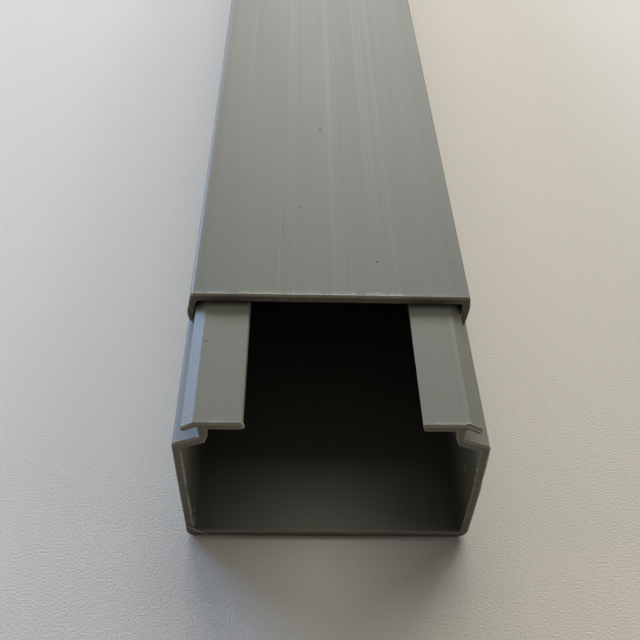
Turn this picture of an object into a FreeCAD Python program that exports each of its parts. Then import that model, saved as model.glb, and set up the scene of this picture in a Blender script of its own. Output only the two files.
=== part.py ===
import FreeCAD, Part
import math
import os

# Cable raceway of grey rigid plastic: a base channel with two necked flanges, and a
# clip-on cover whose legs reach down outside the flanges and hook under their lips.
# X runs across the channel, Y along it and Z up from its underside. The origin is the
# middle of the underside, and the sawn end that is seen first lies at -Y.

# Overall sizes, in millimetres
length = 1000.0
width = 60.0
height = 40.0
cover_set_back = 32.4

# Base channel
wall = 1.65
floor_thickness = 1.8
bottom_radius = 1.8
inner_radius = 0.6
shoulder_drop = 6.05
shoulder_radius = 0.9
shelf_slope_deg = 20.6
shelf_thickness = 1.9
neck_inset = 5.25
neck_thickness = 1.75
neck_fillet = 0.5
neck_root_fillet = 0.25
neck_flare = 0.85
neck_flare_height = 2.3
flange_thickness = 1.75
flange_reach = 6.9
flange_edge_radius = 0.6
lip_start = 0.55
lip_slope_deg = 27.0
lip_thickness = 1.2
lip_bend_radius = 0.8
lip_tip_flat = 0.024

# Cover
cover_inset = 0.6
cover_thickness = 1.85
cover_corner_radius = 0.9
cover_inner_radius = 0.3
leg_thickness = 1.35
foot_taper = 0.2
foot_width = 1.0
foot_rise = 0.65
hook_reach = 1.1
hook_slope = 0.5
hook_radius = 0.3

# Running gap between the cover and the base, and between the lip and the hook
cover_clearance = 0.3

# Faces that the two sections share, measured from the middle plane or the underside
half_width = width / 2
shelf_slope = math.radians(shelf_slope_deg)
lip_slope = math.radians(lip_slope_deg)
cover_underside = height - cover_thickness
flange_top = cover_underside - cover_clearance
shoulder_height = flange_top - shoulder_drop
neck_outer = half_width - neck_inset
neck_inner = neck_outer - neck_thickness
leg_outer = half_width - cover_inset
leg_inner = leg_outer - leg_thickness
lip_tip = leg_inner - cover_clearance


def shelf_top(x):
    """Height of the sloping shelf's upper face at a distance from the middle plane."""
    return shoulder_height + (half_width - x) * math.tan(shelf_slope)


def shelf_underside(x):
    """Height of the sloping shelf's lower face at a distance from the middle plane."""
    return shelf_top(x) - shelf_thickness / math.cos(shelf_slope)


def lip_corners():
    """Corners of the drooping outer lip, from its root on the neck round to its bend."""
    tip_radius = lip_thickness / 2
    along = (math.cos(lip_slope), -math.sin(lip_slope))
    down = (-math.sin(lip_slope), -math.cos(lip_slope))
    bend_x = neck_outer + lip_start
    round_centre_x = lip_tip - tip_radius
    run = (round_centre_x - bend_x - tip_radius * down[0]) / along[0] + tip_radius
    top = (bend_x + run * along[0], flange_top + run * along[1])
    bottom = (top[0] + lip_thickness * down[0], top[1] + lip_thickness * down[1])
    root_z = bottom[1] + (bottom[0] - neck_outer) * math.tan(lip_slope)
    almost_round = (lip_thickness - lip_tip_flat) / 2
    return [
        (neck_outer, root_z, neck_root_fillet),
        (bottom[0], bottom[1], almost_round),
        (top[0], top[1], almost_round),
        (bend_x, flange_top, lip_bend_radius),
    ]


def lip_lowest():
    """Height of the lowest point of the outer lip's rounded tip."""
    tip_radius = lip_thickness / 2
    bend_x = neck_outer + lip_start
    centre_x = lip_tip - tip_radius
    top_at_centre = flange_top - (centre_x - bend_x) * math.tan(lip_slope)
    return top_at_centre - tip_radius / math.cos(lip_slope) - tip_radius


def base_half():
    """Right half of the base's outline, from its underside round to its floor."""
    flange_edge = neck_inner - flange_reach
    flange_underside = flange_top - flange_thickness
    flare_x = neck_inner + neck_flare
    flare_z = shelf_underside(flare_x)
    inner_wall = half_width - wall
    outside = [
        (half_width, 0.0, bottom_radius),
        (half_width, shoulder_height, shoulder_radius),
        (neck_outer, shelf_top(neck_outer), neck_fillet),
    ]
    inside = [
        (flange_edge, flange_top, flange_edge_radius),
        (flange_edge, flange_underside, flange_edge_radius),
        (neck_inner, flange_underside, neck_root_fillet),
        (neck_inner, flare_z + neck_flare_height, neck_fillet),
        (flare_x, flare_z, neck_fillet),
        (inner_wall, shelf_underside(inner_wall), inner_radius),
        (inner_wall, floor_thickness, inner_radius),
    ]
    return outside + lip_corners() + inside


def cover_half():
    """Right half of the cover's outline, from its top round to its underside."""
    foot_x = leg_outer - foot_taper
    foot_z = shelf_top(foot_x) + cover_clearance / math.cos(shelf_slope)
    hook_top = lip_lowest() - cover_clearance
    nose_x = leg_inner - hook_reach
    nose_z = hook_top - hook_slope * hook_reach
    return [
        (leg_outer, height, cover_corner_radius),
        (leg_outer, foot_z + foot_rise, 0.0),
        (foot_x, foot_z, 0.0),
        (foot_x - foot_width, foot_z + foot_rise, 0.0),
        (nose_x, nose_z, hook_radius),
        (leg_inner, hook_top, 0.0),
        (leg_inner, cover_underside, cover_inner_radius),
    ]


def mirrored(half):
    """Whole outline from its right half, with the left half as its mirror image."""
    left = [(-x, z, radius) for x, z, radius in reversed(half)]
    return half + left


def unit(start, end):
    """Unit vector from one point to another."""
    direction = end - start
    return direction / direction.Length


def corner_round(previous, corner, following, radius):
    """Start, middle and end of the arc that rounds a corner of an outline."""
    back = unit(corner, previous)
    ahead = unit(corner, following)
    half_angle = back.getAngle(ahead) / 2
    setback = radius / math.tan(half_angle)
    bisector = unit(FreeCAD.Vector(0, 0, 0), back + ahead)
    nearest = radius / math.sin(half_angle) - radius
    return corner + back * setback, corner + bisector * nearest, corner + ahead * setback


def outline_wire(corners, y):
    """Closed wire across the channel at y, through corners of x, z and radius."""
    points = [FreeCAD.Vector(x, y, z) for x, z, radius in corners]
    count = len(corners)
    stretches = []
    for index, (x, z, radius) in enumerate(corners):
        point = points[index]
        if radius == 0.0:
            stretches.append((point, None, point))
            continue
        previous = points[index - 1]
        following = points[(index + 1) % count]
        stretches.append(corner_round(previous, point, following, radius))
    edges = []
    for index, (start, middle, end) in enumerate(stretches):
        if middle is not None:
            edges.append(Part.Arc(start, middle, end).toShape())
        next_start = stretches[(index + 1) % count][0]
        edges.append(Part.LineSegment(end, next_start).toShape())
    return Part.Wire(edges)


def extrusion(corners, start, run):
    """Solid of one section drawn along the channel from start over the given run."""
    face = Part.Face(outline_wire(corners, start))
    return face.extrude(FreeCAD.Vector(0, run, 0))


def main():
    os.makedirs("parts", exist_ok=True)
    base_start = -length / 2
    cover_start = base_start + cover_set_back
    base_channel = extrusion(mirrored(base_half()), base_start, length)
    cover = extrusion(mirrored(cover_half()), cover_start, length)
    base_channel.exportStep("parts/base_channel.step")
    cover.exportStep("parts/cover.step")


main()
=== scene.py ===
"""Looks of the cord cover raceway: a grey extruded base channel and its clip-on cover.

Both are drawn again here as fine meshes round the solids of the frame, with the lines that
the extrusion die left along them, sawn ends, burrs, swarf and dust. A light band along the
cover's rounded left edge is a painted highlight, and the paleness of the sawn edges and
burrs is partly bruised plastic and partly painted highlight. Sections are written in
millimetres and turned into metres where a mesh is made. Left and right are as the camera
sees them, looking in at the sawn end.
"""

import math

import bmesh
import bpy
from mathutils import Matrix, Vector, noise
from mathutils.geometry import delaunay_2d_cdt
from mathutils.kdtree import KDTree


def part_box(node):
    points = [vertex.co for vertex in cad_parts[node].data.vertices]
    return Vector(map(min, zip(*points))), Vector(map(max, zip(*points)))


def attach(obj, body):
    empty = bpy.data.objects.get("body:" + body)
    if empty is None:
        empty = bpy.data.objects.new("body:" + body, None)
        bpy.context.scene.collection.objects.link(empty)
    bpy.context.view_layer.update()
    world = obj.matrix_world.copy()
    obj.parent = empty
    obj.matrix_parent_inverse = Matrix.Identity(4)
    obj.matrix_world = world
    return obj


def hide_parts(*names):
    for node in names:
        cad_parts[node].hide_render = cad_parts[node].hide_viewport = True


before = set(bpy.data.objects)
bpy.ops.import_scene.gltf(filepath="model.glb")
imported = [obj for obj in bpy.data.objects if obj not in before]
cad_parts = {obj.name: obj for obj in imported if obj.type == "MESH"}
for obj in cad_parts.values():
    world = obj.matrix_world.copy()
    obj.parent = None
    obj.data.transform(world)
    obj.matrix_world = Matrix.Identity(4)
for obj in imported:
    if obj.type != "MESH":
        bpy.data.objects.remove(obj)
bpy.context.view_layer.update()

MM = 0.001


def millimetres(corner):
    """A corner of the frame's box in millimetres."""
    return [value / MM for value in corner]


base_low, base_high = map(millimetres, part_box("base_channel"))
cover_low, cover_high = map(millimetres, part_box("cover"))

# Section of the base channel, of which the two halves differ a little. The lip's tip is
# rounded by a share of half its thickness, which leaves a narrow flat between its two arcs
half_width = base_high[0]
flange_top = base_high[2]
wall = 1.65
floor_thickness = 1.8
bottom_radius = {"left": 1.5, "right": 2.4}
bottom_lean = {"left": 0.5, "right": 0.0}
wall_bow = {"left": 0.02, "right": 0.33}
bow_radius = 300.0
inner_radius = 0.6
floor_corner_radius = 0.35
shoulder_drop = 6.35
shoulder_radius = 0.9
shelf_slope = math.radians(22.5)
shelf_thickness = 1.9
neck_inset = 5.25
neck_thickness = 1.75
neck_fillet = 0.5
neck_root_fillet = 0.25
neck_flare = 0.85
neck_flare_height = 2.3
flange_thickness = 1.75
flange_reach = {"left": 6.65, "right": 6.5}
flange_edge_radius = {"left": 0.7, "right": 0.25}
flange_undercut = {"left": 0.02, "right": 0.4}
flange_lower_radius = 0.6
lip_start = {"left": 0.75, "right": 0.55}
lip_slope = math.radians(30.5)
lip_thickness = 1.2
lip_bend_radius = 0.8
lip_gap = {"left": 0.1, "right": 0.3}
lip_tip_round = 0.98

# Section of the cover
cover_half_width = cover_high[0]
cover_top = cover_high[2]
cover_thickness = 1.85
cover_inner_radius = {"left": 1.2, "right": 0.3}
leg_thickness = 1.35
foot_taper = {"left": 0.2, "right": 0.05}
foot_width = 1.0
foot_rise = 0.65
foot_radius = 0.2
foot_clearance = 0.05
hook_reach = 1.1
hook_slope = 0.5
hook_radius = 0.3
hook_clearance = 0.3

# The cover's legs are bowed. Outer corners of each from the top down, as distance from the
# middle plane, height and radius
leg_outside = {
    "left": ((28.72, 40.0, 0.8), (29.3, 37.9, 1.5), (29.58, 36.2, 2.5)),
    "right": ((29.5, 40.0, 0.7), (29.82, 37.3, 3.0), (29.78, 35.9, 3.0)),
}

# Mesh fineness. Edges that turn by more than the sharp angle aren't smoothed
outline_step = 0.16
arc_step = math.radians(9)
fewest_arc_steps = 2
sharp_angle = math.radians(40)

# Grid of points inside a sawn face. Each stands between these distances from the outline,
# and at least this share of its distance points straight in from there
cap_grid = 0.25
cap_nearest = 0.22
cap_furthest = 1.6
cap_inwards = 0.7

# Triangulation of a sawn face: only its inside is kept, and points closer than this are one
inside_only = 1
same_point = 1e-7

shoulder_height = flange_top - shoulder_drop
neck_outer = half_width - neck_inset
neck_inner = neck_outer - neck_thickness
leg_inner = cover_half_width - leg_thickness


def shelf_top(x):
    """Height of the sloping shelf's upper face at a distance from the middle plane."""
    return shoulder_height + (half_width - x) * math.tan(shelf_slope)


def shelf_underside(x):
    """Height of the sloping shelf's lower face at a distance from the middle plane."""
    return shelf_top(x) - shelf_thickness / math.cos(shelf_slope)


def inner_face(side, z):
    """Distance of a wall's inner face from the middle plane at a height."""
    inner_wall = half_width - wall
    middle = shoulder_height / 2
    bowed = wall_bow[side] - bottom_lean[side] / 2
    if z < middle:
        share = (z - floor_thickness) / (middle - floor_thickness)
        return inner_wall - (1 - share) * bottom_lean[side] + share * bowed
    share = (z - middle) / (shelf_underside(inner_wall) - middle)
    return inner_wall + (1 - share) * bowed


def lip_corners(side):
    """Corners of the drooping outer lip, from its root on the neck round to its bend."""
    tip_radius = lip_thickness / 2
    along = Vector((math.cos(lip_slope), -math.sin(lip_slope)))
    down = Vector((-math.sin(lip_slope), -math.cos(lip_slope)))
    bend = Vector((neck_outer + lip_start[side], flange_top))
    lip_tip = leg_inner - lip_gap[side]
    run = (lip_tip - tip_radius - bend.x - tip_radius * down.x) / along.x + tip_radius
    top = bend + run * along
    bottom = top + lip_thickness * down
    root_z = bottom.y + (bottom.x - neck_outer) * math.tan(lip_slope)
    return [
        (neck_outer, root_z, neck_root_fillet),
        (bottom.x, bottom.y, lip_tip_round * tip_radius),
        (top.x, top.y, lip_tip_round * tip_radius),
        (bend.x, flange_top, lip_bend_radius),
    ]


def lip_lowest(side):
    """Height of the lowest point of the outer lip's rounded tip."""
    tip_radius = lip_thickness / 2
    centre_x = leg_inner - lip_gap[side] - tip_radius
    from_bend = centre_x - neck_outer - lip_start[side]
    top_at_centre = flange_top - from_bend * math.tan(lip_slope)
    return top_at_centre - tip_radius / math.cos(lip_slope) - tip_radius


def base_half(side):
    """One half of the base's outline, from its underside round to its floor."""
    flange_edge = neck_inner - flange_reach[side]
    flange_underside = flange_top - flange_thickness
    flare_x = neck_inner + neck_flare
    flare_z = shelf_underside(flare_x)
    inner_wall = half_width - wall
    lean = bottom_lean[side]
    bow = wall_bow[side]
    outside = [
        (half_width - lean, 0.0, bottom_radius[side]),
        (half_width + bow - lean / 2, shoulder_height / 2, bow_radius),
        (half_width, shoulder_height, shoulder_radius),
        (neck_outer, shelf_top(neck_outer), neck_fillet),
    ]
    inside = [
        (flange_edge, flange_top, flange_edge_radius[side]),
        (flange_edge + flange_undercut[side], flange_underside, flange_lower_radius),
        (neck_inner, flange_underside, neck_root_fillet),
        (neck_inner, flare_z + neck_flare_height, neck_fillet),
        (flare_x, flare_z, neck_fillet),
        (inner_wall, shelf_underside(inner_wall), inner_radius),
        (inner_wall + bow - lean / 2, shoulder_height / 2, bow_radius),
        (inner_wall - lean, floor_thickness, floor_corner_radius),
    ]
    return outside + lip_corners(side) + inside


def cover_half(side):
    """One half of the cover's outline, from its top round to its underside."""
    foot_x = cover_half_width - foot_taper[side]
    foot_z = shelf_top(foot_x) + foot_clearance / math.cos(shelf_slope)
    hook_top = lip_lowest(side) - hook_clearance
    nose_x = leg_inner - hook_reach
    nose_z = hook_top - hook_slope * hook_reach
    return [
        *leg_outside[side],
        (cover_half_width, foot_z + foot_rise, foot_radius),
        (foot_x, foot_z, foot_radius),
        (foot_x - foot_width, foot_z + foot_rise, foot_radius),
        (nose_x, nose_z, hook_radius),
        (leg_inner, hook_top, foot_radius),
        (leg_inner, cover_top - cover_thickness, cover_inner_radius[side]),
    ]


def whole(half):
    """Both halves of an outline, joined, as corners of x, z and radius."""
    left = [(-x, z, radius) for x, z, radius in reversed(half("left"))]
    return half("right") + left


def rounded(corners):
    """Outline through corners of x, z and radius, with each corner turned into an arc."""
    points = []
    for index, (x, z, radius) in enumerate(corners):
        corner = Vector((x, z))
        before = Vector(corners[index - 1][:2])
        after = Vector(corners[(index + 1) % len(corners)][:2])
        back = (before - corner).normalized()
        ahead = (after - corner).normalized()
        half_angle = back.angle(ahead) / 2
        centre = corner + (back + ahead).normalized() * radius / math.sin(half_angle)
        first = corner + back * radius / math.tan(half_angle) - centre
        turn = first.angle_signed(corner + ahead * radius / math.tan(half_angle) - centre)
        steps = max(fewest_arc_steps, math.ceil(abs(turn) / arc_step))
        for step in range(steps + 1):
            angle = -turn * step / steps
            points.append(centre + Matrix.Rotation(angle, 2) @ first)
    return points


def evenly_spaced(points, step):
    """Closed outline with points about a step apart, and none of its corners lost."""
    spaced = []
    for index, start in enumerate(points):
        end = points[(index + 1) % len(points)]
        count = max(1, round((end - start).length / step))
        spaced += [start.lerp(end, part / count) for part in range(count)]
    return spaced


def outward_normals(points):
    """Unit normals of a closed outline, pointing out of the solid."""
    count = len(points)
    area = sum(points[i - 1].cross(points[i]) for i in range(count))
    side = 1 if area > 0 else -1
    normals = []
    for index in range(count):
        along = points[(index + 1) % count] - points[index - 1]
        normals.append((Vector((along.y, -along.x)) * side).normalized())
    return normals


# Fine relief that the die leaves, as depths and widths in millimetres
fine_line_width = 0.45
fine_line_depth = 0.010
broad_line_width = 3.1
broad_line_depth = 0.015
relief_allowance = 0.022
groove_depth = 0.02

# Stronger lines and bands of a face whose normal rises by more than line_rise, some light
# and some dark. Each has its place across the piece, its half width and its lightness.
# Those under narrow_line wide are also grooves. The cover's first is a painted highlight, a
# light band along its rounded left edge, and its widest ones shade its sides and lighten
# its middle. Away from the cuts all of them fade to a share that is left.
line_rise = 0.25
narrow_line = 0.6
line_fade = 60.0
line_left = 0.5
cover_lines = (
    # Painted highlight: a light band along the cover's rounded left edge
    (-28.85, 0.65, 4.3),
    (-29.4, 11.0, -1.0),
    (-27.2, 0.9, -0.6),
    (-18.6, 0.20, 0.4),
    (-17.0, 0.22, 0.5),
    (-15.4, 0.50, 0.2),
    (-10.65, 0.18, 1.1),
    (-10.2, 0.20, -0.4),
    (-8.6, 0.30, 0.25),
    (-7.45, 0.18, 1.1),
    (-5.3, 0.18, 0.6),
    (-3.5, 0.40, 0.4),
    (-2.2, 0.30, 0.25),
    (1.3, 0.40, 0.6),
    (1.9, 0.90, 0.3),
    (3.0, 8.0, 0.3),
    (3.5, 0.16, 0.8),
    (4.1, 0.25, -0.4),
    (4.8, 0.22, 0.5),
    (10.0, 0.25, 0.7),
    (11.8, 0.40, 0.5),
    (12.9, 0.30, -0.2),
    (13.5, 0.18, 0.7),
    (14.6, 0.45, 0.8),
    (21.3, 0.18, 0.3),
    (22.8, 0.30, -0.3),
    (24.4, 0.25, 0.4),
    (26.6, 0.50, -0.5),
    (29.0, 10.0, -0.5),
)
flange_lines = (
    (-23.0, 0.18, 0.4),
    (-22.4, 0.18, -0.4),
    (21.3, 0.18, 0.4),
    (23.1, 0.18, -0.3),
    (24.0, 0.25, -0.9),
    (25.2, 0.18, 0.4),
    (25.7, 0.18, -0.3),
)

# Sawn ends. Each ring near a cut has its distance from it, how far it is drawn in, the
# share of the burr that it stands out by, and how pale its edge is. The paleness is partly
# bruised plastic and partly painted light, as of light through the thin burr. Each ring
# after them lies this many times as far from the cut as the one before. Even an edge
# without a burr is a little pale
end_rings = (
    (0.0, 0.1, 0.0, 0.9),
    (0.05, 0.04, 0.4, 0.9),
    (0.14, 0.0, 1.0, 1.0),
    (0.3, 0.0, 0.45, 0.35),
    (0.6, 0.0, 0.0, 0.0),
)
ring_growth = 2.6
least_bruise_and_highlight = 0.15

# The saw's run: its waves and ripples with their depths, how far along the skin they are
# felt, how far the whole cut lies forward, and how it leans across the piece and up it
saw_wave = 9.0
saw_wave_depth = 0.06
saw_ripple = 1.4
saw_ripple_depth = 0.03
saw_sway = 2.0
saw_lead = 0.35
saw_skew = 0.0055
saw_tilt = 0.01
saw_tilt_height = 12.0

# The crown is the upper edge of a cut face, worn back and pale: how deep the wear is and
# how far down it reaches, and how wide and how pale its band is. The pale band is partly
# bruised plastic and partly a painted highlight, strongest where the edge faces up
crown_depth = 0.14
crown_reach = 0.4
crown_band = 0.36
crown_pale = {"base": 0.9, "cover": 1.0}

# The saw tore the right lip's upper layer off a little behind the rest of the cut
lip_tear_start = Vector((24.4, 37.85))
lip_tear_end = Vector((27.6, 36.02))
lip_tear_depth = 0.3
lip_tear_width = 0.05

# Heights of the burrs along the cut edges: low ones all round, and higher ones on the
# faces named. The cover's stands on its top, from this far below it up, and stops at a
# place across it. A face counts as an upper or a right one where its unit normal points
# there by more than this
burr_low = 0.035
burr_right = 0.12
burr_left_flange = 0.42
burr_flange = 0.055
burr_cover = 0.2
burr_cover_stops = 15.4
burr_cover_below = 1.0
facing_up = 0.5
facing_right = 0.9

# A torn edge, in shares of its burr: its middle height, the part that its fine tears play
# and its least height, and the sizes of its coarse and fine tears
torn_middle = 0.55
torn_fine_share = 0.9
torn_least = 0.08
torn_coarse = 2.7
torn_fine = 0.42

# The saw cracked the end of the cover's left leg. It bulged what lies below the crack
# outwards, dropped the foot and turned it back in, both by a power of the way down, and
# left a share of the hook. The crack goes in by a number of hook reaches, and fades over
# its own reach along the leg
crack_height = 36.6
crack_bulge = 0.4
crack_drop = 0.05
crack_turn = 0.25
crack_taper = 0.28
crack_curl = 4
crack_hook_left = 0.2
crack_hook_reaches = 1.2
crack_reach = 6.0

# Shifts of the seed that keep one noise apart from another
broad_line_seed = 5.5
ripple_seed = 2.2
torn_fine_seed = 3.3
base_burr_seed = 1.7
cover_burr_seed = 8.1


def rough(place, size, seed):
    """Smooth noise from about minus one half to one half, with features of one size."""
    return noise.noise(Vector((place[0] / size, place[1] / size, seed)))


def rough_depth(place, size, seed):
    """The same noise from about nothing to one."""
    return 0.5 + rough(place, size, seed)


def die_depth(point, seed):
    """How far the skin lies inside the true section at a point of the outline."""
    fine = fine_line_depth * rough(point, fine_line_width, seed)
    broad = broad_line_depth * rough(point, broad_line_width, seed + broad_line_seed)
    return relief_allowance + fine + broad


def lines_at(point, normal, lines):
    """Depth and lightness that the stronger lines of an upper face give to a point."""
    depth = 0.0
    shade = 0.0
    if normal.y > line_rise:
        for place, reach, lightness in lines:
            share = math.exp(-(((point.x - place) / reach) ** 2))
            shade += lightness * share
            if reach < narrow_line:
                depth += groove_depth * abs(lightness) * share
    return depth, shade


def torn(point, seed):
    """Height of a torn edge at a point, from nearly nothing to one."""
    height = torn_middle + rough(point, torn_coarse, seed)
    height += torn_fine_share * rough(point, torn_fine, seed + torn_fine_seed)
    return min(1.0, max(torn_least, height))


def base_burr(point, normal):
    """Height of the burr on the base's cut edge."""
    height = burr_low
    if normal.y > facing_up and point.y > shoulder_height:
        height = burr_flange
    elif normal.x > facing_right:
        on_left_flange = point.x < 0 and point.y > flange_top - flange_thickness
        height = burr_left_flange if on_left_flange else burr_right
    return height * torn(point, base_burr_seed)


def cover_burr(point, normal):
    """Height of the burr on the cover's cut edge."""
    height = burr_low
    if normal.y > facing_up and point.y > cover_top - burr_cover_below:
        height = burr_cover if point.x < burr_cover_stops else burr_flange
    return height * torn(point, cover_burr_seed)


def cracked_leg(point):
    """How far the crack in the cover's left leg moves a point of its cut end."""
    below = crack_height - point.y
    if point.x > -leg_inner + crack_hook_reaches * hook_reach or below < 0:
        return Vector((0, 0))
    share = below / (crack_height - shoulder_height)
    inner = -leg_inner - crack_taper * max(0.0, lip_lowest("left") - point.y)
    outwards = crack_bulge * math.sin(math.pi * share)
    outwards += (1 - crack_hook_left) * max(0.0, point.x - inner)
    outwards -= crack_turn * share ** crack_curl
    return Vector((-outwards, -crack_drop * share ** crack_curl))


def crown(normal, distance):
    """Share of the crown's wear at a distance from the edge, by how far its normal rises."""
    return max(0.0, normal.y) * math.exp(-distance / crown_reach)


def cut_depth(point, normal, distance, seed):
    """How far a point of a sawn face stands back from the end of the solid."""
    skew = saw_skew * (half_width - point.x) - saw_lead
    skew -= saw_tilt * (point.y - saw_tilt_height)
    wave = saw_wave_depth * rough_depth(point, saw_wave, seed)
    ripple = saw_ripple_depth * rough_depth(point, saw_ripple, seed + ripple_seed)
    return skew + wave + ripple + crown_depth * crown(normal, distance)


def tear_at(point):
    """Extra depth of the cut where the right lip's upper layer is torn off."""
    along = lip_tear_end - lip_tear_start
    above = along.cross(point - lip_tear_start) / along.length
    if point.x < lip_tear_start.x or point.y < flange_top / 2:
        return 0.0
    return lip_tear_depth * min(1.0, max(0.0, above / lip_tear_width))


def cap_points(outline, normals):
    """Points inside an outline for the sawn face, with the normal and distance of its edge."""
    tree = KDTree(len(outline))
    for index, point in enumerate(outline):
        tree.insert((point.x, point.y, 0), index)
    tree.balance()
    low_x, high_x = min(p.x for p in outline), max(p.x for p in outline)
    low_z, high_z = min(p.y for p in outline), max(p.y for p in outline)
    inside = []
    for row in range(int((high_z - low_z) / cap_grid)):
        for column in range(int((high_x - low_x) / cap_grid)):
            half_step = 0.5 * (row % 2)
            point = Vector((low_x + (column + half_step) * cap_grid, low_z + row * cap_grid))
            _, index, distance = tree.find((point.x, point.y, 0))
            inwards = (outline[index] - point).dot(normals[index])
            if cap_nearest < distance < cap_furthest and inwards > cap_inwards * distance:
                inside.append((point, normals[index], distance))
    return inside


def ring_stations(front, back):
    """Rings of points from the front cut to the back one.

    Each has the place of its cut, the way inward from it, and then its distance from it, how
    far it is drawn in, its share of the burr and its paleness.
    """
    rings = list(end_rings)
    while rings[-1][0] * ring_growth < (back - front) / 2:
        rings.append((rings[-1][0] * ring_growth, 0.0, 0.0, 0.0))
    stations = [(front, 1, *ring) for ring in rings]
    return stations + [(back, -1, *ring) for ring in reversed(rings)]


def skin_faces(rings, count):
    """Faces between each ring of points and the next."""
    faces = []
    for ring in range(rings - 1):
        near, far = ring * count, (ring + 1) * count
        for index in range(count):
            ahead = (index + 1) % count
            faces.append((near + index, near + ahead, far + ahead, far + index))
    return faces


def cap_faces(verts, count, rim_start, inner_start, inward):
    """Triangles of a sawn face, between the points of its rim and those inside it."""
    corners = verts[rim_start:rim_start + count] + verts[inner_start:]
    flat = [Vector((x, z)) for x, _, z in corners]
    result = delaunay_2d_cdt(flat, [], [list(range(count))], inside_only, same_point)
    faces = []
    for triangle in result[2]:
        picked = [result[3][corner][0] for corner in triangle]
        numbers = [rim_start + n if n < count else inner_start + n - count for n in picked]
        faces.append(numbers if inward > 0 else numbers[::-1])
    return faces


def extrusion_mesh(name, verts, faces, skin_count, values):
    """Mesh in metres, with values at its points, whose faces after the skin's are cut."""
    mesh = bpy.data.meshes.new(name)
    mesh.from_pydata([Vector(v) * MM for v in verts], [], faces)
    for value, numbers in values.items():
        mesh.attributes.new(value, "FLOAT", "POINT").data.foreach_set("value", numbers)
    is_cut = [int(index >= skin_count) for index in range(len(faces))]
    mesh.polygons.foreach_set("material_index", is_cut)
    mesh.polygons.foreach_set("use_smooth", [True] * len(faces))
    mesh.set_sharp_from_angle(angle=sharp_angle)
    mesh.validate()
    return mesh


def extruded(name, half, lines, burr, ends, seed, crown_paleness, tear=None, crack=None):
    """Fine mesh of one extrusion, with die lines along it and sawn, burred ends."""
    outline = evenly_spaced(rounded(whole(half)), outline_step)
    normals = outward_normals(outline)
    relief = []
    shades = []
    for point, normal in zip(outline, normals):
        depth, shade = lines_at(point, normal, lines)
        relief.append(depth + die_depth(point, seed))
        shades.append(shade)
    burrs = [burr(point, normal) for point, normal in zip(outline, normals)]

    def cut_at(point, normal, distance, inward):
        """How far a point of either cut stands back, and only the front one is torn."""
        depth = cut_depth(point, normal, distance, seed + inward)
        if tear and inward > 0:
            depth += tear(point)
        return depth

    verts = []
    line_shade = []
    paleness = []
    stations = ring_stations(*ends)
    for cut, inward, along, inset, share, pale in stations:
        sway = math.exp(-along / saw_sway)
        strength = line_left + (1 - line_left) * math.exp(-along / line_fade)
        for index, point in enumerate(outline):
            height = share * burrs[index] - inset - relief[index]
            place = point + normals[index] * height
            depth = cut_at(point, normals[index], inset, inward)
            if crack and inward > 0:
                place += crack(point) * math.exp(-along / crack_reach)
            verts.append((place.x, cut + inward * (along + depth * sway), place.y))
            line_shade.append(strength * shades[index])
            # Paler where the burr is higher: bruised plastic and painted light through the thin
            # burr
            paleness.append(pale * min(1.0, least_bruise_and_highlight + burrs[index] / burr_cover))
    count = len(outline)
    faces = skin_faces(len(stations), count)
    skin_count = len(faces)

    inner = cap_points(outline, normals)
    front, back = ends
    last_ring = len(verts) - count
    for cut, inward, rim_start in ((front, 1, 0), (back, -1, last_ring)):
        inner_start = len(verts)
        for point, normal, distance in inner:
            depth = cut_at(point, normal, distance, inward)
            place = point + crack(point) if crack and inward > 0 else point
            verts.append((place.x, cut + inward * depth, place.y))
            line_shade.append(0.0)
            # Painted highlight, partly bruising: the upper edges of the sawn face are paler the
            # more they face up
            band = math.exp(-((distance / crown_band) ** 2))
            paleness.append(crown_paleness * max(0.0, normal.y) * band)
        faces += cap_faces(verts, count, rim_start, inner_start, inward)

    values = {"die_line_and_edge_highlight": line_shade, "paleness": paleness}
    piece = bpy.data.objects.new(name, extrusion_mesh(name, verts, faces, skin_count, values))
    bpy.context.collection.objects.link(piece)
    return piece


# Colours as linear values
skin_colour = {"base": (0.186, 0.191, 0.153), "cover": (0.168, 0.173, 0.14)}
# Pale colour of burrs and cut edges, partly whitened plastic and partly painted light
burr_pale_and_lit_colour = (0.6, 0.56, 0.45, 1.0)
# Pale colour of the crown's band, partly bruised plastic and partly painted highlight
crown_bruise_and_highlight_colour = (0.8, 0.7, 0.47, 1.0)
cut_colour = (0.19, 0.163, 0.126)
torn_colour = (0.74, 0.71, 0.63)
dust_colour = (0.035, 0.034, 0.032)
smudge_colour = (0.135, 0.137, 0.115)
scuffed_colour = (0.27, 0.27, 0.235)
table_colour = (0.735, 0.704, 0.632)

# Noises of the skin, as sizes in millimetres, and how much each of them changes its
# lightness, its roughness and its height. Streaks and clouds are drawn out along the piece
skin_sizes = {"fine": 0.28, "middling": 1.7, "broad": 9.0, "cloud": 14.0, "tooth": 0.22}
skin_tone = {"fine": 0.14, "middling": 0.12, "broad": 0.08, "cloud": 0.05, "tooth": 0.03}
skin_gloss = {"fine": 0.10, "middling": 0.08, "cloud": 0.06}
skin_relief = {"fine": 0.5, "middling": 0.5, "tooth": 0.12}
streak_stretch = 0.003
drift_stretch = 0.25
skin_specular = 0.27
skin_roughness = 0.47

# How much a stronger line changes the skin's lightness and roughness, and a bruise its
# roughness. Through the lightness, the lines also paint the highlight along the cover's
# left edge
line_tone = 0.085
line_roughness = -0.04
bruise_roughness = 0.35

# Noises of the sawn faces, of which the saw's marks are slanted and drawn out
cut_sizes = {"marks": 0.16, "chips": 0.3, "blotch": 2.4}
cut_tone = {"marks": 0.25, "chips": 0.45, "blotch": 0.25}
cut_gloss = {"chips": 0.2}
cut_relief = {"marks": 0.5, "chips": 0.8}
mark_slant = 0.5
mark_stretch = (1, 0.2, 0.06)
cut_roughness = 0.68

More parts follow.
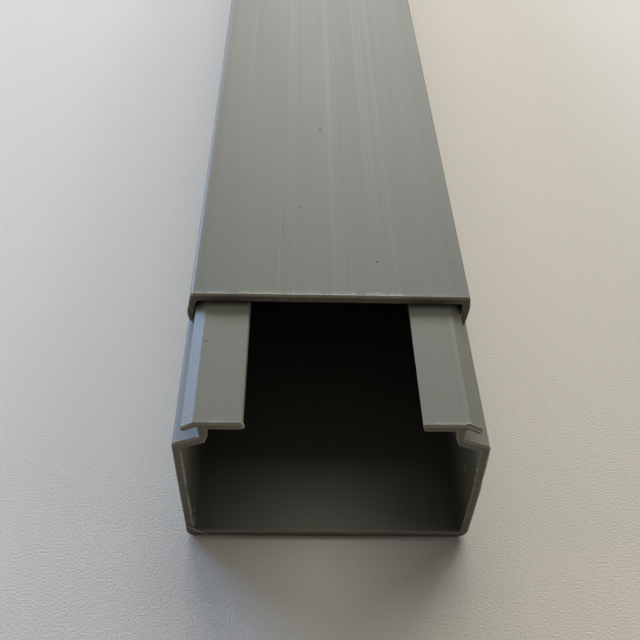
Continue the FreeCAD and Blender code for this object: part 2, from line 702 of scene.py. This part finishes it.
# Noises of the table and of the loose bits, and their roughness
pebble_size = 0.45
pebble_tone = {"pebbles": 0.16}
table_roughness = 0.6
bit_grain = 0.3
bit_roughness = 0.6
dust_roughness = 0.9

# A tone is one on average, and a height lies about this middle
even_tone = 1.0
middle_height = 0.5


def add(tree, kind, inputs=None, **settings):
    """A shader node with its settings made, and its inputs set or linked."""
    made = tree.nodes.new(kind)
    for name, value in settings.items():
        setattr(made, name, value)
    for name, value in (inputs or {}).items():
        if isinstance(value, bpy.types.NodeSocket):
            tree.links.new(value, made.inputs[name])
        else:
            made.inputs[name].default_value = value
    return made


def new_material(name):
    """A node material with a Principled shader, its tree and its object coordinates."""
    material = bpy.data.materials.new(name)
    material.use_nodes = True
    tree = material.node_tree
    shader = tree.nodes["Principled BSDF"]
    place = add(tree, "ShaderNodeTexCoord").outputs["Object"]
    return material, tree, shader, place


def stretched(tree, place, factors):
    """Coordinates with each axis scaled by its own factor."""
    inputs = {0: place, 1: factors}
    return add(tree, "ShaderNodeVectorMath", inputs, operation="MULTIPLY").outputs[0]


def grain(tree, place, size, detail=2.0, roughness=0.5):
    """Noise from zero to one with features of a size in millimetres."""
    inputs = {"Vector": place, "Scale": 1 / (size * MM), "Detail": detail, "Roughness": roughness}
    return add(tree, "ShaderNodeTexNoise", inputs).outputs["Fac"]


def with_share(tree, total, source, amount):
    """A total, as a socket or number, with an amount of a source added to it."""
    inputs = {0: source, 1: amount, 2: total}
    return add(tree, "ShaderNodeMath", inputs, operation="MULTIPLY_ADD").outputs[0]


def varied(tree, middle, noises, amounts):
    """A middle value with noises added to it, each by its own amount about its mean."""
    total = middle - sum(amount / 2 for amount in amounts.values())
    for name, amount in amounts.items():
        total = with_share(tree, total, noises[name], amount)
    return total


def attribute(tree, name):
    """A value that the mesh carries at each point."""
    return add(tree, "ShaderNodeAttribute", attribute_name=name).outputs["Fac"]


def toned(tree, colour, tone):
    """A colour made lighter or darker by a tone."""
    inputs = {0: colour, "Scale": tone}
    return add(tree, "ShaderNodeVectorMath", inputs, operation="SCALE").outputs[0]


def paled(tree, colour, pale):
    """A colour turned towards a paler one along the cuts, partly bruised plastic and partly
    painted highlight.
    """
    mixed = add(tree, "ShaderNodeMix", data_type="RGBA")
    share, first, second = mixed.inputs[0], mixed.inputs[6], mixed.inputs[7]
    tree.links.new(attribute(tree, "paleness"), share)
    tree.links.new(colour, first)
    second.default_value = pale
    return mixed.outputs[2]


def bump(tree, shader, height, strength, distance):
    """Relief of a surface too fine for its mesh, with its distance in millimetres."""
    inputs = {"Height": height, "Strength": strength, "Distance": distance * MM}
    tree.links.new(add(tree, "ShaderNodeBump", inputs).outputs[0], shader.inputs["Normal"])


def skin_material(name, colour, shift, streaks):
    """Grey rigid plastic with streaks drawn along it by the die."""
    material, tree, shader, place = new_material(name)
    place = add(tree, "ShaderNodeVectorMath", {0: place, 1: shift}, operation="ADD").outputs[0]
    along = stretched(tree, place, (1, streak_stretch, 1))
    drift = stretched(tree, place, (1, drift_stretch, 1))
    noises = {
        "fine": grain(tree, along, skin_sizes["fine"], detail=3.0, roughness=0.6),
        "middling": grain(tree, along, skin_sizes["middling"]),
        "broad": grain(tree, along, skin_sizes["broad"], detail=1.0),
        "cloud": grain(tree, drift, skin_sizes["cloud"], detail=3.0),
        "tooth": grain(tree, place, skin_sizes["tooth"]),
    }
    amounts = dict(skin_tone)
    for streak in ("fine", "middling"):
        amounts[streak] *= streaks
    tone = varied(tree, even_tone, noises, amounts)
    # The stronger lines lighten or darken the skin; the cover's first is a painted highlight along
    # its rounded left edge
    tone = with_share(tree, tone, attribute(tree, "die_line_and_edge_highlight"), line_tone)
    # Burrs and edges are painted paler, partly as bruising and partly as painted light
    skin = paled(tree, toned(tree, colour, tone), burr_pale_and_lit_colour)
    tree.links.new(skin, shader.inputs["Base Color"])
    shader.inputs["Specular IOR Level"].default_value = skin_specular
    gloss = varied(tree, skin_roughness, noises, skin_gloss)
    gloss = with_share(tree, gloss, attribute(tree, "die_line_and_edge_highlight"), line_roughness)
    gloss = with_share(tree, gloss, attribute(tree, "paleness"), bruise_roughness)
    tree.links.new(gloss, shader.inputs["Roughness"])
    height = varied(tree, middle_height, noises, skin_relief)
    bump(tree, shader, height, strength=0.5, distance=0.012)
    return material


def cut_material(name, colour):
    """Sawn plastic: matt, browner than the skin, with saw marks and chipped grains."""
    material, tree, shader, place = new_material(name)
    inputs = {"Vector": place, "Angle": mark_slant}
    slanted = add(tree, "ShaderNodeVectorRotate", inputs, rotation_type="Y_AXIS").outputs[0]
    noises = {
        "marks": grain(tree, stretched(tree, slanted, mark_stretch), cut_sizes["marks"]),
        "chips": grain(tree, place, cut_sizes["chips"], detail=3.0, roughness=0.65),
        "blotch": grain(tree, place, cut_sizes["blotch"]),
    }
    face = toned(tree, colour, varied(tree, even_tone, noises, cut_tone))
    # The crown's band is painted paler, partly as bruising and partly as a painted highlight
    tree.links.new(paled(tree, face, crown_bruise_and_highlight_colour), shader.inputs["Base Color"])
    tree.links.new(varied(tree, cut_roughness, noises, cut_gloss), shader.inputs["Roughness"])
    height = varied(tree, middle_height, noises, cut_relief)
    bump(tree, shader, height, strength=0.7, distance=0.05)
    return material


def floor_material():
    """Plain pale table top with a faint pebbled grain."""
    material, tree, shader, place = new_material("pale_floor")
    pebbles = grain(tree, place, pebble_size)
    tone = varied(tree, even_tone, {"pebbles": pebbles}, pebble_tone)
    tree.links.new(toned(tree, table_colour, tone), shader.inputs["Base Color"])
    shader.inputs["Roughness"].default_value = table_roughness
    bump(tree, shader, pebbles, strength=0.9, distance=0.15)
    return material


def plain_material(name, colour, spread, roughness):
    """Small loose bits: one colour, mottled by its own amount."""
    material, tree, shader, place = new_material(name)
    noises = {"mottle": grain(tree, place, bit_grain)}
    tone = varied(tree, even_tone, noises, {"mottle": spread})
    tree.links.new(toned(tree, colour, tone), shader.inputs["Base Color"])
    shader.inputs["Roughness"].default_value = roughness
    return material


def make_base():
    """The base channel, in place of the frame's plain solid."""
    ends = (base_low[1], base_high[1])
    piece = extruded(
        "base_extrusion", base_half, flange_lines, base_burr, ends,
        seed=11.0, crown_paleness=crown_pale["base"], tear=tear_at,
    )
    skin = skin_material("base_skin", skin_colour["base"], shift=(0.3, 0, 0), streaks=0.6)
    piece.data.materials.append(skin)
    piece.data.materials.append(cut_material("base_cut", cut_colour))
    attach(piece, "base")
    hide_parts("base_channel")


def make_cover():
    """The clip-on cover, in place of the frame's plain solid."""
    ends = (cover_low[1], cover_high[1])
    piece = extruded(
        "cover_extrusion", cover_half, cover_lines, cover_burr, ends,
        seed=23.0, crown_paleness=crown_pale["cover"], crack=cracked_leg,
    )
    skin = skin_material("cover_skin", skin_colour["cover"], shift=(0, 0, 0), streaks=1.0)
    piece.data.materials.append(skin)
    piece.data.materials.append(cut_material("cover_cut", cut_colour))
    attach(piece, "cover")
    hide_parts("cover")


# Loose bits, in millimetres. A thread lies off a wall by a gap, and thins to a share of
# itself at its ends. Scratches and smudges are sunk in the cover's top, and stand out by
# the rest of their height. A lump is uneven by a share of its size, in features of a size
thread_gap = 0.05
thread_end = 0.4
scratch_sink = 0.03
smudge_sink = 0.01
lump_unevenness = 0.8
lump_feature = 0.12


def strands(name, lines):
    """Mesh of thin tapered threads, each a thickness and points in millimetres from the cut."""
    curve = bpy.data.curves.new(name, "CURVE")
    curve.dimensions = "3D"
    curve.bevel_depth = MM
    curve.bevel_resolution = 1
    curve.resolution_u = 6
    curve.use_fill_caps = True
    for thickness, points in lines:
        spline = curve.splines.new("NURBS")
        spline.points.add(len(points) - 1)
        for index, (x, y, z) in enumerate(points):
            spline.points[index].co = (x * MM, (base_low[1] + y) * MM, z * MM, 1)
            middling = math.sin(math.pi * (index + 0.5) / len(points))
            share = thread_end + (1 - thread_end) * middling
            spline.points[index].radius = thickness / 2 * share
        spline.order_u = 3
        spline.use_endpoint_u = True
    threads = bpy.data.objects.new(name + "_curve", curve)
    bpy.context.collection.objects.link(threads)
    mesh = bpy.data.meshes.new_from_object(threads)
    bpy.data.objects.remove(threads)
    return mesh


def add_flecks(mesh, flecks, seed):
    """Small uneven lumps joined to a mesh, each a place and its size along x, y and z."""
    shapes = bmesh.new()
    shapes.from_mesh(mesh)
    for place, size in flecks:
        centre = Vector((place[0], base_low[1] + place[1], place[2])) * MM
        # The last place of the diagonal is one once it is in metres
        scale = Matrix.Diagonal((*size, 1 / MM)) * MM
        matrix = Matrix.Translation(centre) @ scale
        lump = bmesh.ops.create_icosphere(shapes, subdivisions=2, radius=0.5, matrix=matrix)
        for vert in lump["verts"]:
            out = vert.co - centre
            bulge = noise.noise(out / (lump_feature * MM) + Vector((seed, 0, 0)))
            vert.co = centre + out * (1 + lump_unevenness * bulge)
    shapes.to_mesh(mesh)
    shapes.free()


def make_bits(name, body, material, lines, flecks, seed):
    """One piece of small loose bits that ride on a body."""
    mesh = strands(name, lines)
    add_flecks(mesh, flecks, seed)
    mesh.materials.clear()
    mesh.materials.append(material)
    mesh.polygons.foreach_set("use_smooth", [True] * len(mesh.polygons))
    piece = bpy.data.objects.new(name, mesh)
    bpy.context.collection.objects.link(piece)
    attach(piece, body)


def at_wall(side, behind, height, gap=0.0):
    """A point by a wall's inner face, at a distance behind the cut and a height."""
    sign = {"left": -1, "right": 1}[side]
    return (sign * (inner_face(side, height) - gap), behind, height)


def on_wall(side, places):
    """Points just off a wall's inner face, from distances behind the cut and heights."""
    return [at_wall(side, behind, height, thread_gap) for behind, height in places]


def in_cover(places):
    """Points just under the cover's top, from places across it and behind the base's cut."""
    return [(x, behind, cover_top - scratch_sink) for x, behind in places]


def make_base_bits(torn_plastic, dust):
    """Swarf on the base's walls, sawn face and flanges, and a speck of dust."""
    threads = [
        (0.24, on_wall("left", [(3.0, 5.9), (3.5, 5.3), (3.1, 4.7), (2.4, 5.2)])),
        (0.10, on_wall("left", [(0.4, 5.6), (0.8, 5.9), (1.2, 5.7)])),
        (0.22, on_wall("left", [(2.0, 3.3), (2.4, 2.9), (3.2, 2.5)])),
        (0.18, on_wall("left", [(0.6, 3.6), (1.0, 3.1), (1.1, 2.6)])),
        (0.2, on_wall("right", [(8.1, 14.3), (7.3, 15.5), (6.5, 15.4), (6.7, 14.2)])),
        (0.15, [
            (-29.7, -0.02, 3.9),
            (-28.9, -0.02, 3.2),
            (-27.9, -0.02, 2.7),
            (-26.9, -0.02, 1.9),
            (-25.6, -0.04, 0.8),
        ]),
        (0.12, [
            (-27.6, -0.02, 2.1),
            (-26.9, -0.02, 1.7),
            (-26.2, -0.02, 1.2),
            (-25.2, -0.04, 0.7),
        ]),
        (0.11, [
            (24.7, -0.54, 37.66),
            (25.7, -0.54, 37.08),
            (26.6, -0.54, 36.56),
            (27.5, -0.54, 36.05),
        ]),
    ]
    crumbs = [
        ((20.5, 23.7, flange_top), (0.14, 0.18, 0.06)),
        ((20.6, 18.2, flange_top), (0.12, 0.14, 0.06)),
        ((-27.2, 2.3, 36.87), (0.32, 0.3, 0.2)),
        ((-26.9, 1.9, 37.05), (0.18, 0.2, 0.15)),
        (at_wall("right", 5.5, 2.9), (0.1, 0.4, 0.25)),
        (at_wall("left", 1.6, 2.6), (0.25, 0.5, 0.4)),
        (at_wall("right", -0.4, 24.5), (0.3, 0.25, 0.4)),
        (at_wall("right", -0.38, 21.0), (0.25, 0.2, 0.3)),
    ]
    make_bits("base_swarf", "base", torn_plastic, threads, crumbs, seed=1.0)
    specks = [((-24.75, 20.7, flange_top), (0.28, 0.3, 0.1))]
    make_bits("base_dust", "base", dust, [], specks, seed=2.0)


def make_cover_bits(torn_plastic, dust):
    """Swarf at the cover's cut, a speck of dust, scratches and smudges."""
    threads = [
        (0.14, [
            (-29.5, 32.08, 36.9),
            (-29.2, 32.09, 36.5),
            (-28.8, 32.1, 35.9),
            (-28.5, 32.12, 35.3),
        ]),
    ]
    crumbs = [
        ((5.5, 33.85, cover_top), (0.2, 0.2, 0.08)),
        ((-29.45, 31.92, 37.05), (0.5, 0.4, 0.45)),
    ]
    make_bits("cover_swarf", "cover", torn_plastic, threads, crumbs, seed=3.0)
    specks = [((10.61, 43.2, cover_top), (0.36, 0.42, 0.1))]
    make_bits("cover_dust", "cover", dust, [], specks, seed=4.0)

    scuffed = plain_material("scuffed", scuffed_colour, spread=0.3, roughness=bit_roughness)
    scratches = [
        (0.11, in_cover([(15.4, 41.0), (15.8, 41.4), (16.3, 42.1)])),
        (0.13, in_cover([(23.2, 46.4), (24.0, 44.6), (24.5, 42.2)])),
        (0.08, in_cover([(24.7, 42.0), (25.9, 42.4), (28.0, 43.8)])),
    ]
    make_bits("cover_scratches", "cover", scuffed, scratches, [], seed=6.0)

    smudge = plain_material("smudge", smudge_colour, spread=0.3, roughness=bit_roughness)
    smudge_level = cover_top - smudge_sink
    smudges = [
        ((-6.2, 63.2, smudge_level), (0.7, 0.8, 0.05)),
        ((-10.0, 55.1, smudge_level), (0.3, 0.9, 0.05)),
        ((-1.0, 97.1, smudge_level), (0.9, 1.2, 0.05)),
    ]
    make_bits("cover_smudges", "cover", smudge, [], smudges, seed=5.0)


def make_swarf():
    """Threads and crumbs left by the saw, and specks of dust, where the photograph shows them.

    Their places are millimetres across the raceway, behind the base's cut and up.
    """
    torn_plastic = plain_material("torn_plastic", torn_colour, spread=0.3, roughness=bit_roughness)
    dust = plain_material("dust", dust_colour, spread=0.5, roughness=dust_roughness)
    make_base_bits(torn_plastic, dust)
    make_cover_bits(torn_plastic, dust)


floor_size = 12


def make_floor():
    """The table that the raceway lies on, which isn't part of it."""
    bpy.ops.mesh.primitive_plane_add(size=floor_size)
    floor = bpy.context.object
    floor.name = "floor"
    floor.data.materials.append(floor_material())


# Lamps: a low window behind, the ceiling, blue sky on the left, the walls that they light,
# and a fill from each side in front. Each has its place and size in metres, its power in
# watts and its colour
lamps = {
    "window": ((0.4, 2.5, 1.4), (3.4, 0.9), 87, (0.995, 0.97, 0.915)),
    "ceiling": ((0.1, 0.9, 2.4), (2.0, 1.2), 14, (1.0, 0.99, 0.9)),
    "sky": ((-1.75, 1.35, 0.68), (1.15, 0.6), 54, (0.4, 0.57, 0.98)),
    "left_wall": ((-2.3, 0.6, 0.3), (0.9, 0.4), 7, (1.0, 0.98, 0.9)),
    "right_wall": ((1.7, 1.5, 1.3), (1.2, 0.8), 14, (1.0, 0.94, 0.85)),
    "right_fill": ((2.2, -0.65, 0.8), (1.2, 0.8), 5.2, (0.97, 1.0, 1.0)),
    "left_fill": ((-2.3, -0.2, 1.1), (0.8, 0.8), 6.5, (1.0, 0.94, 0.7)),
}
lamp_aim = (0, -0.4, 0)
room_colour = (1.0, 0.92, 0.95, 1.0)
room_strength = 0.069


def make_lamp(name, place, size, power, colour):
    """A soft rectangular lamp at a place, turned towards the part of the raceway in view."""
    data = bpy.data.lights.new(name, "AREA")
    data.shape = "RECTANGLE"
    data.size, data.size_y = size
    data.energy = power
    data.color = colour
    lamp = bpy.data.objects.new(name, data)
    lamp.location = place
    lamp.rotation_euler = (Vector(lamp_aim) - Vector(place)).to_track_quat("-Z", "Y").to_euler()
    bpy.context.collection.objects.link(lamp)


def make_lights():
    """The lamps, and the faint even light of the room."""
    for name, (place, size, power, colour) in lamps.items():
        make_lamp(name, place, size, power, colour)
    world = bpy.data.worlds.new("room")
    world.use_nodes = True
    background = world.node_tree.nodes["Background"]
    background.inputs["Color"].default_value = room_colour
    background.inputs["Strength"].default_value = room_strength
    bpy.context.scene.world = world


# The photograph's camera, in millimetres and degrees, but its nearest distance in metres.
# A pitch of nothing is level and looks along +Y
camera_place = Vector((-7.14, base_low[1] - 98.59, 158.91))
camera_pitch = 43.91
camera_yaw = -2.357
camera_roll = 2.206
camera_lens = 47.87
camera_sensor = 36
camera_nearest = 0.01


def make_camera():
    """Camera at the photograph's viewing angle."""
    data = bpy.data.cameras.new("camera")
    data.lens = camera_lens
    data.sensor_width = camera_sensor
    data.clip_start = camera_nearest
    camera = bpy.data.objects.new("camera", data)
    bpy.context.collection.objects.link(camera)
    turn = Matrix.Rotation(math.radians(camera_yaw), 3, "Z")
    tilt = Matrix.Rotation(math.radians(90 - camera_pitch), 3, "X")
    roll = Matrix.Rotation(math.radians(camera_roll), 3, "Z")
    camera.matrix_world = Matrix.Translation(camera_place * MM) @ (turn @ tilt @ roll).to_4x4()
    bpy.context.scene.camera = camera


make_base()
make_cover()
make_swarf()
make_floor()
make_lights()
make_camera()
bpy.context.scene.view_settings.view_transform = "Standard"
